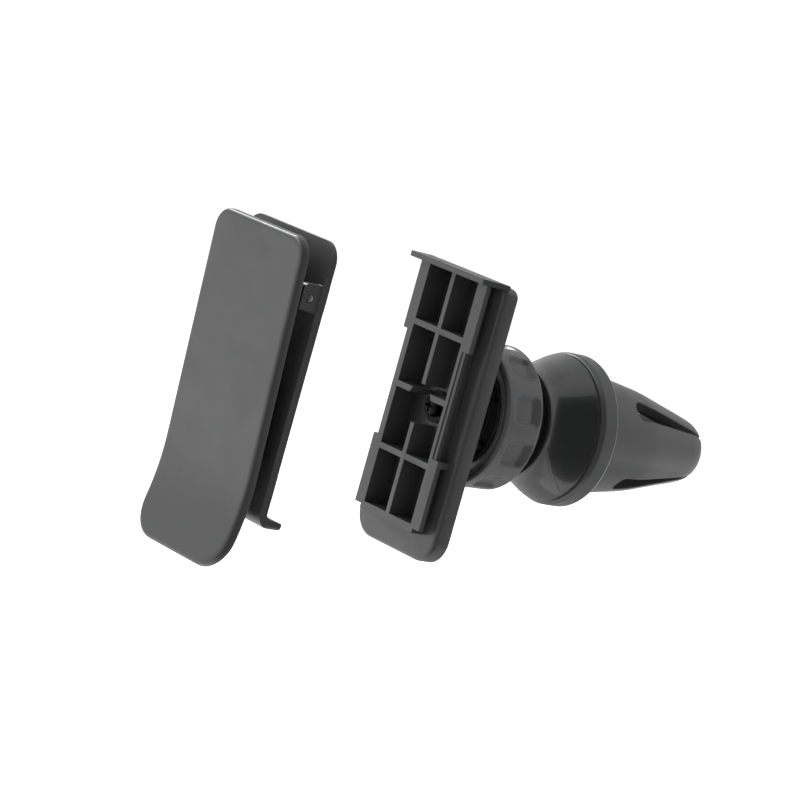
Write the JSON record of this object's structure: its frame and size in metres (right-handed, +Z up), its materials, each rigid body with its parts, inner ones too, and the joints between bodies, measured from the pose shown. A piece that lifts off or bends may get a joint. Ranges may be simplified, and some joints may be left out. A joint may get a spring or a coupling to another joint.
{
  "type": "car phone mount",
  "caption": "Vent-grip phone mount with a pronged cone, clamped ball joint, ribbed adapter plate and a separate spring clip shown taken off.",
  "frame": {"origin": "centre of the stop rim's rear face, on the axis of the vent grip", "axes": "+Y runs along the axis from the clip to the prong tips, +Z is up, +X is to the right seen from the clip"},
  "size_m": [0.034, 0.13, 0.072],
  "materials": {
    "clip_plastic": "satin, fine moulded grain",
    "plate_plastic": "satin, moulded",
    "nut_plastic": "satin, moulded",
    "bell_plastic": "glossy, polished mould",
    "grip_plastic": "satin, moulded",
    "ball_plastic": "smooth satin",
    "nylon": "black nylon, smooth",
    "rubber": "matt, fine ribs",
    "steel": "bright zinc-plated"
  },
  "bodies": {
    "grip": {"bell_cup": "bell_plastic", "stop_rim": "grip_plastic", "prong_cone": "grip_plastic", "cone_screw": "steel", "cone_washer": "steel", "socket_collet": "ball_plastic"},
    "collar": {"collar_nut": "nut_plastic"},
    "seat": {"ball_seat": "nylon"},
    "liner": {"ball_liner": "nylon"},
    "head": {"ball_stud": "ball_plastic", "adapter_plate": "plate_plastic", "centre_screw": "steel", "screw_washer": "steel"},
    "clip": {"clip_back_plate": "clip_plastic", "hinge_pin": "steel", "torsion_spring": "steel", "back_pad": "rubber"},
    "lever": {"clip_lever": "clip_plastic", "lever_pad": "rubber"}
  },
  "joints": [
    {"name": "collar_turn", "type": "hinge", "parent": "grip", "child": "collar", "pos_m": [0, -0.0256, 0], "axis": [0, -1, 0], "range_deg": [0, 120]},
    {"name": "head_spin", "type": "hinge", "parent": "grip", "child": "seat", "pos_m": [0, -0.0256, 0], "axis": [0, 1, 0], "continuous": true},
    {"name": "head_side", "type": "hinge", "parent": "seat", "child": "liner", "pos_m": [0, -0.0256, 0], "axis": [0, 0, 1], "range_deg": [-12, 12]},
    {"name": "head_nod", "type": "hinge", "parent": "liner", "child": "head", "pos_m": [0, -0.0256, 0], "axis": [1, 0, 0], "range_deg": [-12, 12]},
    {"name": "clip_fit", "type": "slide", "parent": "head", "child": "clip", "axis": [0, 0.9804, -0.1972], "range_m": [0, 0.04361]},
    {"name": "lever_open", "type": "hinge", "parent": "clip", "child": "lever", "pos_m": [0, -0.08943, 0.01975], "axis": [-1, 0, 0], "range_deg": [0, 12], "stiffness_Nm_per_rad": 0.15, "springref_deg": -34.38, "deforming": ["torsion_spring"]}
  ]
}
